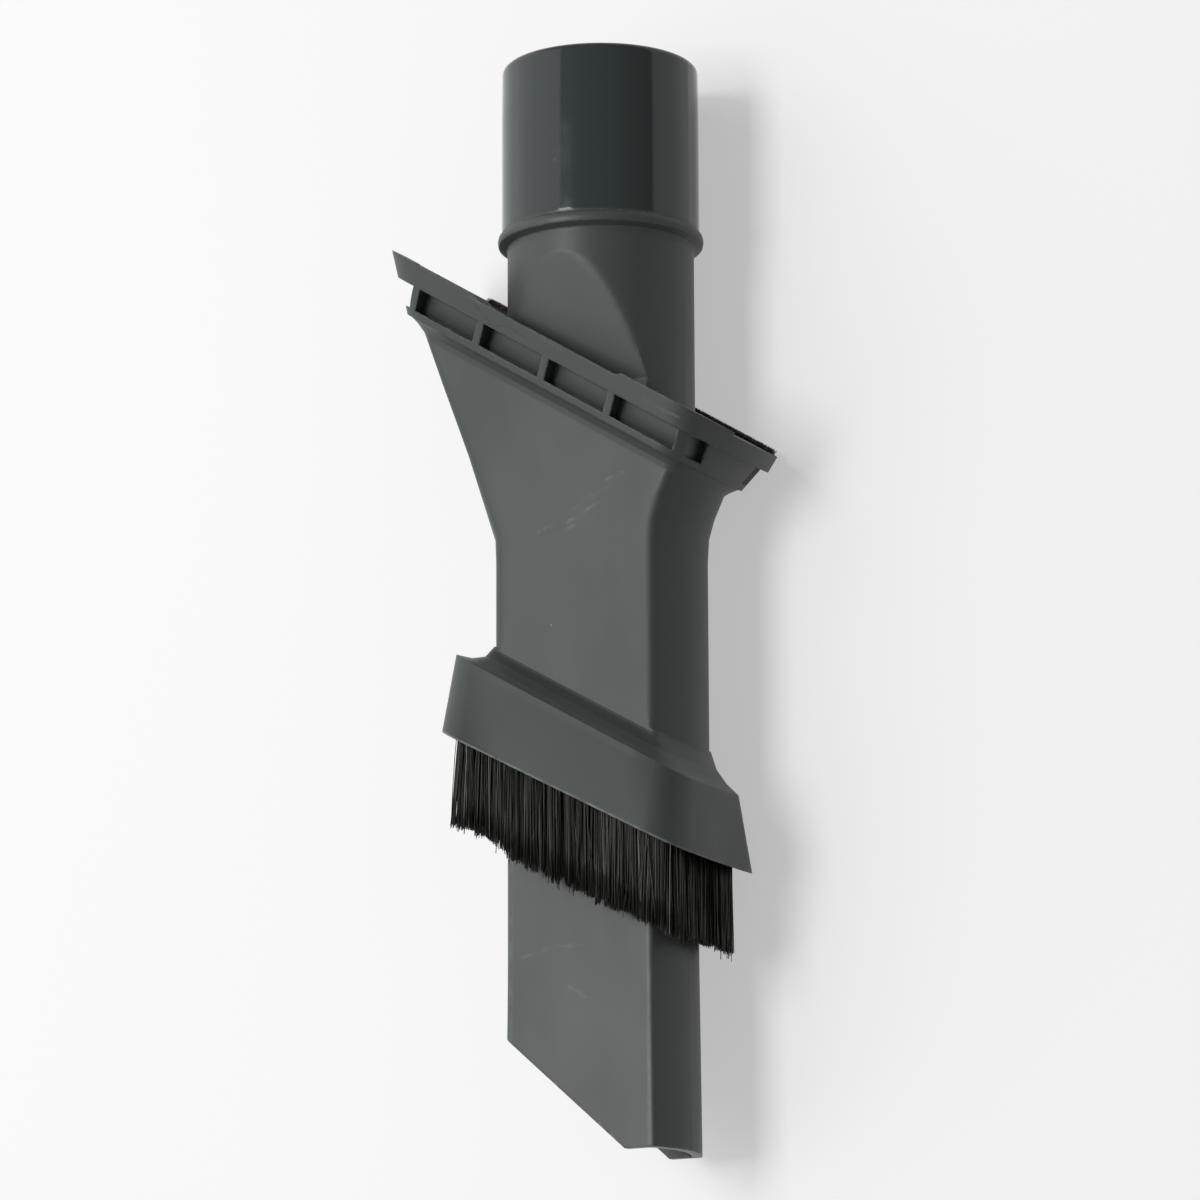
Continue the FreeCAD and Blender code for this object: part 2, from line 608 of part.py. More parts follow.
def end_notch(body):
    """Open notch round the left end, between the lip band and the flange."""
    v = cell
    sketches = []
    for shift, floor, word in ((1.0, "pocket_floor_top", "top"), (-4.5, "pocket_floor_low", "sill")):
        sketch = shifted(body, f"notch_{word}", shift)
        drift = shift * math.sin(math.radians(v("eave_tilt")))
        text = f"dims.notch_start + {shift} * sin(dims.eave_tilt * 1 deg)"
        start = v("notch_start") + drift
        far = start - 16
        out = v("lip_half") + 4
        base = v(floor)
        deep = start - v("notch_bulge")
        sketch.addGeometry(Part.LineSegment(Vector(start, base, 0), Vector(start, out, 0)), False)
        sketch.addGeometry(Part.LineSegment(Vector(start, out, 0), Vector(far, out, 0)), False)
        sketch.addGeometry(Part.LineSegment(Vector(far, out, 0), Vector(far, -out, 0)), False)
        sketch.addGeometry(Part.LineSegment(Vector(far, -out, 0), Vector(start, -out, 0)), False)
        sketch.addGeometry(Part.LineSegment(Vector(start, -out, 0), Vector(start, -base, 0)), False)
        arc = Part.Arc(Vector(start, -base, 0), Vector(deep, 0, 0), Vector(start, base, 0))
        sketch.addGeometry(arc, False)
        for i in range(4):
            sketch.addConstraint(Sketcher.Constraint("Coincident", i, 2, i + 1, 1))
        # the arc runs from its far end to its near end the other way round
        ends = ((5, 1), (5, 2))
        near = min(ends, key=lambda e: (sketch.getPoint(*e) - Vector(start, base, 0)).Length)
        other = ends[1] if near == ends[0] else ends[0]
        sketch.addConstraint(Sketcher.Constraint("Coincident", 0, 1, near[0], near[1]))
        sketch.addConstraint(Sketcher.Constraint("Coincident", 4, 2, other[0], other[1]))
        for i in (0, 2, 4):
            sketch.addConstraint(Sketcher.Constraint("Vertical", i))
        for i in (1, 3):
            sketch.addConstraint(Sketcher.Constraint("Horizontal", i))
        bind(sketch, "DistanceX", (-1, 1, 0, 1), start, text)
        bind(sketch, "DistanceX", (-1, 1, 1, 2), far, f"{text} - 16")
        bind(sketch, "DistanceY", (-1, 1, 0, 1), base, f"dims.{floor}")
        bind(sketch, "DistanceY", (4, 2, -1, 1), base, f"dims.{floor}")
        bind(sketch, "DistanceY", (-1, 1, 1, 1), out, "dims.lip_half + 4")
        bind(sketch, "DistanceY", (3, 1, -1, 1), out, "dims.lip_half + 4")
        radius = (base**2 + v("notch_bulge") ** 2) / (2 * v("notch_bulge"))
        text_radius = f"(dims.{floor} * dims.{floor} + dims.notch_bulge * dims.notch_bulge) / (2 * dims.notch_bulge)"
        bind(sketch, "Radius", (5,), radius, text_radius)
        sketches.append(sketch)
    loft(body, "Subtractive", "end_notch", sketches)


def lowered_rim(body):
    """The rim stands lower on the far lip and round both ends than on the near lip."""
    v = cell
    sketch = sketch_on(body, "lowered_rim_profile", "XY_Plane")
    slope = math.tan(math.radians(v("lip_tilt")))
    tan = "tan(dims.lip_tilt * 1 deg)"
    low = v("lip_y") - v("rim_drop")
    wide = 50
    points = [
        ("-50", f"dims.lip_y - dims.rim_drop + 50 * {tan}", -wide, low + wide * slope),
        ("50", f"dims.lip_y - dims.rim_drop - 50 * {tan}", wide, low - wide * slope),
        ("50", f"dims.lip_y + 30 - 50 * {tan}", wide, v("lip_y") + 30 - wide * slope),
        ("-50", f"dims.lip_y + 30 + 50 * {tan}", -wide, v("lip_y") + 30 + wide * slope),
    ]
    outline(sketch, [corner_at(*p) for p in points])
    sketch.AttachmentOffset = Placement(Vector(0, 0, v("near_lip_z")), Rotation())
    sketch.setExpression("AttachmentOffset.Base.z", "dims.near_lip_z")
    pocket(body, "lowered_rim", sketch, through=False, length="dims.near_lip_z + dims.lip_half + 3")


def lip_recess(body):
    """Shallow dip in the near lip's edge."""
    v = cell
    sketch = sketch_on(body, "lip_recess_profile", "XY_Plane")
    slope = math.tan(math.radians(v("lip_tilt")))
    tan = "tan(dims.lip_tilt * 1 deg)"
    points = []
    for key, ramp, dip in (
        ("lip_dip_left", -1, -0.5),
        ("lip_dip_left", 0, 1),
        ("lip_dip_right", 0, 1),
        ("lip_dip_right", 1, -0.5),
    ):
        x = v(key) + ramp * v("lip_dip_ramp")
        text = f"(dims.{key} + {ramp} * dims.lip_dip_ramp)"
        y = v("lip_y") - dip * v("lip_dip") - slope * x
        points.append((text, f"dims.lip_y - {dip} * dims.lip_dip - {tan} * {text}", x, y))
    outline(sketch, [corner_at(*p) for p in points])
    sketch.AttachmentOffset = Placement(Vector(0, 0, v("near_lip_z")), Rotation())
    sketch.setExpression("AttachmentOffset.Base.z", "dims.near_lip_z")
    pocket(body, "lip_recess", sketch, through=False, length="dims.lip_half + 3", backwards=True)


def throat_hollow(body):
    """Flat-walled hollow that leads from the bore obliquely up to the mouth."""
    v = cell
    sketch = sketch_on(body, "throat_hollow_profile", "XY_Plane")
    slope = math.tan(math.radians(v("inb_tilt")))
    tan = "tan(dims.inb_tilt * 1 deg)"
    left = v("inb_left") - v("hollow_inset")
    right = v("inb_right") - v("hollow_inset")
    left_text = "(dims.inb_left - dims.hollow_inset)"
    right_text = "(dims.inb_right - dims.hollow_inset)"
    high = v("hollow_lap")
    points = [
        ("-dims.hollow_low_x", "dims.hollow_low_y", -v("hollow_low_x"), v("hollow_low_y")),
        ("dims.hollow_low_x", "dims.hollow_low_y", v("hollow_low_x"), v("hollow_low_y")),
        (right_text, f"dims.inb_y + dims.hollow_lap - {tan} * {right_text}", right, v("inb_y") + high - slope * right),
        (f"-{left_text}", f"dims.inb_y + dims.hollow_lap + {tan} * {left_text}", -left, v("inb_y") + high + slope * left),
    ]
    outline(sketch, [corner_at(*p) for p in points])
    pocket(body, "throat_hollow", sketch, through=False, length="2 * dims.column_bore_half", midplane=True)


def inside(body):
    """Hollow of the sleeve: the bore that clears the blade, widening through the throat to the mouth."""
    loft(body, "Subtractive", "mouth_hollow", [slab_sketch(body, name) for name in ("inb", "inc")])
    throat_hollow(body)
    v = cell
    bore = square_across(body, "bore_section", "bore_start_y")
    flat_round(bore, v("column_bore_rad"), "dims.column_bore_rad", v("column_bore_half"), "dims.column_bore_half")
    pocket(body, "column_bore", bore, backwards=True)


def strip_channel(body):
    """Channel in the far lip that seats the lint strip."""
    v = cell
    sketch = shifted(body, "strip_channel_profile", 0)
    sketch.setExpression("AttachmentOffset.Base.z", "-dims.lip_y + dims.rim_drop + dims.strip_tall")
    points = [
        ("dims.strip_left", "-(dims.strip_inner_z - 1)", v("strip_left"), -(v("strip_inner_z") - 1)),
        ("dims.strip_right", "-(dims.strip_inner_z - 1)", v("strip_right"), -(v("strip_inner_z") - 1)),
        ("dims.strip_right", "-dims.strip_outer_z", v("strip_right"), -v("strip_outer_z")),
        ("dims.strip_left", "-dims.strip_outer_z", v("strip_left"), -v("strip_outer_z")),
    ]
    outline(sketch, [corner_at(*p) for p in points])
    pocket(body, "strip_channel", sketch, through=False, length="dims.strip_tall + 4")


def make_sleeve():
    """Sleeve that slides on the blade: upholstery head, throat, column, shoulder and skirt in one moulding."""
    body = new_body("sleeve")
    skirt(body)
    column(body)
    throat(body)
    cove(body)
    rib_band(body)
    pockets(body)
    end_notch(body)
    lip_band(body)
    lowered_rim(body)
    lip_recess(body)
    strip_channel(body)
    inside(body)
    return body


def make_strip():
    """Strip of pile that stands in the far lip's channel."""
    body = new_body("lint_strip")
    v = cell
    sketch = shifted(body, "strip_section", 0)
    sketch.setExpression("AttachmentOffset.Base.z", "-dims.lip_y + dims.rim_drop + dims.strip_tall")
    points = [
        ("dims.strip_left", "-dims.strip_inner_z", v("strip_left"), -v("strip_inner_z")),
        ("dims.strip_right", "-dims.strip_inner_z", v("strip_right"), -v("strip_inner_z")),
        ("dims.strip_right", "-dims.strip_outer_z", v("strip_right"), -v("strip_outer_z")),
        ("dims.strip_left", "-dims.strip_outer_z", v("strip_left"), -v("strip_outer_z")),
    ]
    outline(sketch, [corner_at(*p) for p in points])
    feature = body.newObject("PartDesign::Pad", "pile")
    feature.Profile = sketch
    feature.Type = "Length"
    feature.Length = 5
    feature.setExpression("Length", "(dims.strip_tall + dims.strip_proud) * cos(dims.lip_tilt * 1 deg)")
    feature.Reversed = True
    return body


def ring_prism(side):
    """Round-cornered block across the bristle ring, as deep as the bristles reach: the ring's inner or outer side."""
    v = cell
    left, right, half, corner = (v(f"ring_{side}_{key}") for key in ("left", "right", "half", "corner"))
    top = floor_at(-left) + 1
    deep = top - (v("trim_y") - v("trim_slope") * right) + 5
    block = Part.makeBox(left + right, deep, 2 * half, Vector(-left, top - deep, -half))
    upright = [e for e in block.Edges if e.BoundBox.YLength > deep / 2]
    return block.makeFillet(corner, upright)


def floor_at(x):
    """Height of the groove's slanted floor, on which the bristles stand."""
    return cell("rooma_y") - x * math.tan(math.radians(cell("rooma_tilt")))


def ragged(first, last, along):
    """Outline of a row seen square on: its foot, and bunches that end unevenly with splits between them."""
    v = cell
    count = max(2, round((last - first) / v("bunch_pitch")))
    pitch = (last - first) / count
    foot = floor_at(-v("ring_out_left")) + 1
    points = [(first, foot)]
    for i in range(count):
        a = first + i * pitch
        blunt = min(v("bunch_end"), 0.8 * pitch) / 2
        middle = a + pitch / 2
        long = 0.45 * math.sin(1.9 * i) + 0.3 * math.sin(5.3 * i)
        split = v("bunch_split") + 1.1 * math.sin(2.7 * i)
        if i > 0:
            points.append((a, trim_at(a, along) + split))
        else:
            points.append((a, trim_at(a, along)))
        points.append((middle - blunt, trim_at(middle - blunt, along) - long))
        points.append((middle + blunt, trim_at(middle + blunt, along) - long))
    points.append((last, trim_at(last, along)))
    points.append((last, foot))
    return points


def trim_at(a, along):
    """Height of the slanted trim: it falls along X and is level along Z."""
    return cell("trim_y") - (cell("trim_slope") * a if along == "x" else 0)


def row_block(along, first, last, far_side, near_side):
    """A ragged row as a thick plate: seen along Z for the long rows, and along the slope of X for the ends."""
    outline_points = ragged(first, last, along)
    if along == "x":
        corners = [Vector(a, y, near_side) for a, y in outline_points]
        way = Vector(0, 0, far_side - near_side)
    else:
        slope = cell("trim_slope")
        corners = [Vector(near_side, y - slope * near_side, a) for a, y in outline_points]
        way = Vector(far_side - near_side, -slope * (far_side - near_side), 0)
    return Part.Face(Part.makePolygon(corners + [corners[0]])).extrude(way)


def make_bristles():
    """Four rows of bristle round the skirt's groove: near, far, left end and right end. Each is one thick strip."""
    v = cell
    ring = ring_prism("out").cut(ring_prism("in"))
    wide = v("ring_out_left") + 5
    floor = [Vector(-wide, floor_at(-wide), -30), Vector(wide, floor_at(wide), -30)]
    deep = v("trim_y") - 40
    floor += [Vector(wide, deep, -30), Vector(-wide, deep, -30)]
    below = Part.Face(Part.makePolygon(floor + [floor[0]])).extrude(Vector(0, 0, 60))
    ring = ring.common(below)
    half = v("ring_out_half") - v("ring_out_corner")
    left = v("ring_out_left")
    right = v("ring_out_right")
    gap = v("row_gap")
    rows = (
        ("bristles_near", row_block("x", -left, right, v("ring_out_half"), half + gap / 2)),
        ("bristles_far", row_block("x", -left, right, -v("ring_out_half"), -half - gap / 2)),
        ("bristles_left", row_block("z", gap / 2 - half, half - gap / 2, -left, gap - v("ring_in_left") + 1)),
        ("bristles_right", row_block("z", gap / 2 - half, half - gap / 2, right, v("ring_in_right") - 1 - gap)),
    )
    made = []
    for name, block in rows:
        feature = doc.addObject("Part::Feature", name)
        feature.Label = name
        feature.Shape = ring.common(block)
        made.append(feature)
    return made


def finish():
    """Recompute, check every object, then write one STEP file per sub-part."""
    doc.recompute()
    for item in doc.Objects:
        if "Invalid" in item.State or "Error" in item.State:
            raise RuntimeError(f"{item.Name} is {item.State}")
    os.makedirs("parts", exist_ok=True)
    for node in nodes:
        shape = node.Shape
        if shape.isNull() or not shape.isValid():
            raise RuntimeError(f"{node.Label} has no valid shape")
        shape.exportStep(f"parts/{node.Label}.step")
        print(node.Label, len(shape.Solids), "solids", round(shape.Volume / 1000, 2), "cm3")


nodes = [make_nozzle(), make_sleeve(), make_strip()] + make_bristles()
finish()
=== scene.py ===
"""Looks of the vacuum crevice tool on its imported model: moulded plastic, bristles, pile and the studio.

Lengths are metres where no comment says millimetres.
"""
import math
import random

import bpy
from mathutils import Matrix, Vector


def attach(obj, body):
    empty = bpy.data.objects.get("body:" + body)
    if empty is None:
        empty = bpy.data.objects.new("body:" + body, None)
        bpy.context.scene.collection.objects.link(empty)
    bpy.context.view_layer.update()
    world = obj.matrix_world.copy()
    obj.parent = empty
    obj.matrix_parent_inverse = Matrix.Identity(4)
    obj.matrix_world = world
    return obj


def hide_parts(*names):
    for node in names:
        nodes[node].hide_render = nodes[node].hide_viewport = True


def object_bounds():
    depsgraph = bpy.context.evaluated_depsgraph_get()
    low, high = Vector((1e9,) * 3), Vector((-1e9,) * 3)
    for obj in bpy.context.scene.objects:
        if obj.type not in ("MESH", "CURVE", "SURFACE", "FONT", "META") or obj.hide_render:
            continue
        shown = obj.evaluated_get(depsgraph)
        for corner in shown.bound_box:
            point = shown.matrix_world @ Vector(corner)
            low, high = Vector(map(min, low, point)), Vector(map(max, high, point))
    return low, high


MM = 0.001

# How far the tool's oblique edges slant down to the right
HEAD_TILT = math.radians(31.7)
SHOULDER_TILT = math.radians(29.9)
RIM_TILT = math.radians(28.0)

# Where those edges cross the middle of the near face
HEAD_Y = -0.069
SHOULDER_Y = -0.116
RIM_Y = -0.1350

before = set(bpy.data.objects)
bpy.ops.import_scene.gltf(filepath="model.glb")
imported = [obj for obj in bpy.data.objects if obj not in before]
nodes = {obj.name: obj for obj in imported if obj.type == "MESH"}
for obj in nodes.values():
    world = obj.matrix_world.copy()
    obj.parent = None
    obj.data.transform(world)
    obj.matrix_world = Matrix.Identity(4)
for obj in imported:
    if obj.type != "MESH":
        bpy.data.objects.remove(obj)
cad_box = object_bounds()


# Node trees

class Look:
    """A material under construction: short calls for its nodes and links."""

    def __init__(self, name):
        self.mat = bpy.data.materials.new(name)
        self.mat.use_nodes = True
        self.tree = self.mat.node_tree
        self.bsdf = self.tree.nodes["Principled BSDF"]
        self.place = self.add("ShaderNodeTexCoord").outputs["Object"]

    def add(self, kind, inputs=None, **props):
        """A new node. Each of its inputs is given as a value or as the socket that feeds it."""
        node = self.tree.nodes.new(kind)
        for key, value in props.items():
            setattr(node, key, value)
        for key, value in (inputs or {}).items():
            if isinstance(value, bpy.types.NodeSocket):
                self.tree.links.new(value, node.inputs[key])
            else:
                node.inputs[key].default_value = value
        return node

    def feed(self, socket, name):
        self.tree.links.new(socket, self.bsdf.inputs[name])

    def maths(self, operation, a, b=0.5, clamp=False):
        return self.add("ShaderNodeMath", {0: a, 1: b}, operation=operation, use_clamp=clamp).outputs[0]

    def absolute(self, value):
        return self.maths("ABSOLUTE", value)

    def vectors(self, operation, *values):
        """Maths on vectors. A dot product and a distance give a number."""
        node = self.add("ShaderNodeVectorMath", dict(enumerate(values)), operation=operation)
        return node.outputs["Value" if operation in ("DOT_PRODUCT", "DISTANCE") else "Vector"]

    def times(self, *masks):
        """The product of masks and plain numbers."""
        product = masks[0]
        for mask in masks[1:]:
            product = self.maths("MULTIPLY", product, mask)
        return product

    def plus(self, *masks):
        """The sum of masks, which stays within 1."""
        total = masks[0]
        for mask in masks[1:]:
            total = self.maths("ADD", total, mask, clamp=True)
        return total

    def ramp(self, value, low, high, to_low=0.0, to_high=1.0, kind="LINEAR"):
        spread = {"Value": value, "From Min": low, "From Max": high, "To Min": to_low, "To Max": to_high}
        return self.add("ShaderNodeMapRange", spread, clamp=True, interpolation_type=kind).outputs["Result"]

    def mix(self, share, a, b):
        return self.add("ShaderNodeMix", {0: share, 6: a, 7: b}, data_type="RGBA").outputs[2]

    def stretched(self, scale):
        return self.add("ShaderNodeMapping", {"Vector": self.place, "Scale": scale}).outputs["Vector"]

    def noise(self, scale, detail=2.0, rough=0.5, vector=None):
        inputs = {"Vector": vector or self.place, "Scale": scale, "Detail": detail, "Roughness": rough}
        return self.add("ShaderNodeTexNoise", inputs).outputs["Fac"]

    def separate(self):
        return self.add("ShaderNodeSeparateXYZ", {0: self.place}).outputs

    def edge(self, radius, low, high):
        """A mask of sharp outer edges, from how far a rounded normal leaves the true one."""
        rounded = self.add("ShaderNodeBevel", {"Radius": radius}, samples=6).outputs[0]
        true = self.add("ShaderNodeNewGeometry").outputs["Normal"]
        return self.ramp(self.vectors("DOT_PRODUCT", rounded, true), high, low)

    def crevice(self, reach, low, high):
        """A mask of pockets and inner corners, used to paint shade there."""
        node = self.add("ShaderNodeAmbientOcclusion", {"Distance": reach}, samples=6, only_local=True)
        return self.ramp(node.outputs["AO"], high, low)

    def specks(self, scale, size, rare):
        """Tiny pale dots in a few cells of a cell pattern."""
        cells = self.add("ShaderNodeTexVoronoi", {"Vector": self.place, "Scale": scale})
        dot = self.ramp(cells.outputs["Distance"], size, size * 0.5)
        pick = self.add("ShaderNodeSeparateColor", {0: cells.outputs["Color"]}).outputs[0]
        return self.times(dot, self.ramp(pick, rare, rare + 0.01))

    def stroke(self, points, width):
        """A mask of a scuffed and broken line through points of the XY plane, in millimetres."""
        flat = self.vectors("MULTIPLY", self.place, (1 / MM, 1 / MM, 0.0))
        near = None
        for a, b in zip(points, points[1:]):
            start = Vector((a[0], a[1], 0))
            run = Vector((b[0], b[1], 0)) - start
            reach = self.vectors("SUBTRACT", flat, start)
            share = self.vectors("DOT_PRODUCT", reach, run / run.length_squared)
            share = self.maths("ADD", share, 0.0, clamp=True)
            foot = self.vectors("MULTIPLY_ADD", run, share, start)
            gap = self.vectors("DISTANCE", flat, foot)
            near = gap if near is None else self.maths("MINIMUM", near, gap)
        uneven = self.ramp(self.noise(1100.0, 3.0, 0.7), 0.36, 0.66, 0.12, 1.0)
        line = self.ramp(self.maths("DIVIDE", near, uneven), width, 0.0)
        broken = self.ramp(self.noise(430.0, 2.0, 0.5), 0.40, 0.56, 0.1, 1.0)
        return self.times(line, broken)

    def strokes(self, lines, width):
        return self.plus(*[self.stroke(line, width) for line in lines])


def slanted(look, axes, tilt, start):
    """Distance in millimetres towards the tip from a slanted line across the near face."""
    slant = look.maths("ADD", axes["Y"], look.times(axes["X"], math.tan(tilt)))
    return look.times(look.maths("SUBTRACT", slant, start), -1 / MM)


def shade(colour, factor=1.0):
    """A colour made darker or lighter, with its alpha."""
    return [c * factor for c in colour] + [1]


# Moulded plastic. Colours are linear red, green and blue.

NOZZLE_BASE = [0.070, 0.080, 0.075]
# The nozzle's pale colour for its wear and for the painted highlight on the blade's corners
NOZZLE_WEAR_AND_HIGHLIGHT = [0.42, 0.44, 0.41]
NOZZLE_POLISHED = [0.041, 0.051, 0.052]
SLEEVE_BASE = [0.061, 0.071, 0.066]
SLEEVE_WORN = [0.40, 0.42, 0.39]

EDGE_ROUNDING = 0.0006
NECK_ROUNDING = 0.0026
COLUMN_ROUNDING = 0.0021
GRAIN_STRENGTH = 0.16
GRAIN_DEPTH = 0.00004
BLADE_CORNER_X = 0.0135

# Places along an axis, between which a mask rises from 0 to 1
BLADE_FACE_Z = (0.0085, 0.0092)
SLEEVE_FACE_Z = (0.0103, 0.0108)
LIP_FACE_Z = (0.0155, 0.0160)
SOCKET_Y = (-0.0312, -0.0306)
BELOW_RING_Y = (-0.0375, -0.0400)
ABOVE_BLADE_Y = (-0.0580, -0.0555)
BLADE_Y = (-0.062, -0.068)
COLUMN_X = (0.0235, 0.0115)

# Scuffs seen on the near side, each a line of points in millimetres
NOZZLE_SCUFFS = (
    ((-11.0, -162.5), (-4.6, -161.0), (0.6, -161.2)),
    ((-1.9, -168.2), (1.2, -170.4)),
)
SLEEVE_SCUFFS = (
    ((-3.4, -88.2), (1.2, -86.3)),
    ((-1.2, -86.1), (4.9, -83.1)),
    ((0.4, -83.7), (3.3, -81.6)),
    ((4.0, -82.0), (7.3, -80.2)),
    ((6.6, -79.2), (9.8, -78.3)),
    ((-6.8, -87.1), (-4.1, -86.2)),
)
LIP_SCUFFS = (
    ((-2.2, -54.2), (1.5, -56.7)),
    ((17.4, -67.6), (24.2, -71.5)),
    ((-17.0, -44.6), (-14.5, -46.2)),
)

# The worn edge of the blade's mouth, and the line of painted shade in the crease at the left of the near lip,
# in millimetres
MOUTH_EDGE = ((-17.3, -174.4), (8.6, -197.0), (17.2, -197.0))
LIP_CREASE = ((-15.5, -46.5), (-12.4, -50.4), (-9.3, -51.0), (-5.7, -53.4))

# The shoulder's added form in millimetres: the distance down from its start, and the height there
SHOULDER_FORM = (
    (0.0, 0.0),
    (0.4, 0.0),
    (0.9, 0.14),
    (1.4, 0.48),
    (2.6, 1.42),
    (4.2, 1.84),
    (5.1, 1.24),
    (6.4, 1.0),
    (19.0, -0.9),
)
FORM_LOWEST = -1.0
FORM_SPAN = 3.0


def plastic_normal(look, round_off, form, grain_strength):
    """Rounded edges, an added form in millimetres if there is one, and a fine eroded grain."""
    normal = look.add("ShaderNodeBevel", {"Radius": round_off}, samples=6).outputs[0]
    if form is not None:
        shape = {"Strength": 1.0, "Distance": MM, "Height": form, "Normal": normal}
        normal = look.add("ShaderNodeBump", shape).outputs[0]
    grain = {
        "Strength": grain_strength,
        "Distance": GRAIN_DEPTH,
        "Height": look.noise(2600.0, 2.0, 0.6),
        "Normal": normal,
    }
    look.feed(look.add("ShaderNodeBump", grain).outputs[0], "Normal")


def moulded(look, base, wear_and_highlight, marks, rough, round_off, polish=None, polished=None, extra_shade=None, form=None):
    """Moulded plastic: cloudy, finely eroded, darker in its pockets by painted shade, paler on worn edges and
    marks.
    """
    cloud = look.ramp(look.noise(38.0, 3.0, 0.55), 0.3, 0.7)
    colour = look.mix(cloud, shade(base, 0.93), shade(base, 1.07))
    # Painted shade: pockets and inner corners darken by how enclosed they are, and any extra painted shade is
    # added
    hollow_shade = look.times(look.crevice(0.0032, 0.25, 0.85), 0.75)
    if extra_shade is not None:
        hollow_shade = look.plus(hollow_shade, extra_shade)
    colour = look.mix(hollow_shade, colour, shade(base, 0.45))
    if polish is not None:
        colour = look.mix(polish, colour, shade(polished))
    fuzz = look.ramp(look.noise(900.0, 3.0, 0.6), 0.42, 0.6)
    worn_edges = look.times(fuzz, 0.34, look.edge(0.00045, 0.82, 0.97))
    look.feed(look.mix(look.plus(worn_edges, marks), colour, shade(wear_and_highlight)), "Base Color")

    streak = look.ramp(look.noise(70.0, 4.0, 0.6, look.stretched((1.0, 0.35, 1.0))), 0.3, 0.7)
    rough_map = look.ramp(streak, 0.0, 1.0, rough - 0.04, rough + 0.05)
    grain_strength = GRAIN_STRENGTH
    if polish is not None:
        gloss = look.ramp(look.noise(160.0, 3.0, 0.6), 0.35, 0.75, 0.07, 0.13)
        rough_map = look.add("ShaderNodeMix", {0: polish, 2: rough_map, 3: gloss}).outputs[0]
        grain_strength = look.ramp(polish, 0.0, 1.0, GRAIN_STRENGTH, 0.0)
    look.feed(rough_map, "Roughness")
    look.bsdf.inputs["Specular IOR Level"].default_value = 0.4
    plastic_normal(look, round_off, form, grain_strength)


def nozzle_plastic():
    """Matte blade and neck, and a socket that is polished down to its bead ring."""
    look = Look("nozzle_plastic")
    axes = look.separate()
    near_face = look.ramp(axes["Z"], *BLADE_FACE_Z)
    from_corner = look.absolute(look.maths("SUBTRACT", look.absolute(axes["X"]), BLADE_CORNER_X))
    # A pale line along the blade's near corners is a painted highlight, mixed in with the wear marks
    corner = look.times(look.ramp(from_corner, 0.0006, 0.0002), look.ramp(axes["Y"], *BLADE_Y))
    corner_highlight = look.ramp(look.noise(300.0, 3.0, 0.6), 0.3, 0.7, 0.05, 0.17)
    marks = look.plus(
        look.times(look.specks(260.0, 0.09, 0.975), 0.5),
        look.times(look.strokes(NOZZLE_SCUFFS, 0.8), 0.09, near_face),
        look.times(look.stroke(MOUTH_EDGE, 0.75), 0.34),
        look.times(near_face, corner, corner_highlight),
    )
    neck = look.times(look.ramp(axes["Y"], *BELOW_RING_Y), look.ramp(axes["Y"], *ABOVE_BLADE_Y))
    round_off = look.ramp(neck, 0.0, 1.0, EDGE_ROUNDING, NECK_ROUNDING)
    polish = look.ramp(axes["Y"], *SOCKET_Y)
    moulded(look, NOZZLE_BASE, NOZZLE_WEAR_AND_HIGHLIGHT, marks, 0.44, round_off, polish=polish, polished=NOZZLE_POLISHED)
    return look.mat


def shoulder_form(look, down, middle):
    """Height in millimetres that steepens the hollow shoulder above the skirt and rounds its ridge."""
    reach = SHOULDER_FORM[-1][0]
    curve = look.add("ShaderNodeFloatCurve", {1: look.ramp(down, 0.0, reach)})
    spots = [(at / reach, (height - FORM_LOWEST) / FORM_SPAN) for at, height in SHOULDER_FORM]
    line = curve.mapping.curves[0]
    line.points[0].location = spots[0]
    line.points[1].location = spots[-1]
    for spot in spots[1:-1]:
        line.points.new(*spot)
    for point in line.points:
        point.handle_type = "VECTOR"
    curve.mapping.update()
    height = look.maths("ADD", look.times(curve.outputs[0], FORM_SPAN), FORM_LOWEST)
    return look.times(height, middle)


def sleeve_plastic():
    """Matte plastic with soft corners down the column and a steeper shoulder above the skirt."""
    look = Look("sleeve_plastic")
    axes = look.separate()
    face = look.ramp(axes["Z"], *SLEEVE_FACE_Z)
    lip = look.ramp(axes["Z"], *LIP_FACE_Z)
    rim = look.ramp(look.absolute(slanted(look, axes, RIM_TILT, RIM_Y)), 0.5, 0.25)
    rim_wear = look.ramp(look.noise(500.0, 3.0, 0.6), 0.35, 0.6)
    marks = look.plus(
        look.times(look.strokes(SLEEVE_SCUFFS, 0.85), 0.15, face),
        look.times(look.strokes(LIP_SCUFFS, 0.5), 0.18, lip),
        look.times(rim, rim_wear, 0.4),
        look.times(look.specks(230.0, 0.09, 0.965), 0.7),
    )
    # Painted shade along the crease at the left of the near lip
    crease = look.times(lip, look.stroke(LIP_CREASE, 0.5), 0.6)
    down = slanted(look, axes, SHOULDER_TILT, SHOULDER_Y)
    middle = look.ramp(look.absolute(axes["X"]), *COLUMN_X, kind="SMOOTHSTEP")
    shoulder = look.times(look.ramp(down, -0.3, 0.1), look.ramp(down, 8.5, 7.0), middle)
    below_head = look.ramp(slanted(look, axes, HEAD_TILT, HEAD_Y), 0.0, 5.0)
    column = look.times(below_head, look.ramp(down, -0.5, -3.5))
    round_off = look.ramp(column, 0.0, 1.0, EDGE_ROUNDING, COLUMN_ROUNDING)
    round_off = look.times(round_off, look.ramp(shoulder, 0.0, 0.3, 1.0, 0.05))
    form = shoulder_form(look, down, middle)
    moulded(look, SLEEVE_BASE, SLEEVE_WORN, marks, 0.46, round_off, extra_shade=crease, form=form)
    return look.mat


# Fibre materials: linear colours from dark to pale, each with the share of the fibres that are darker.

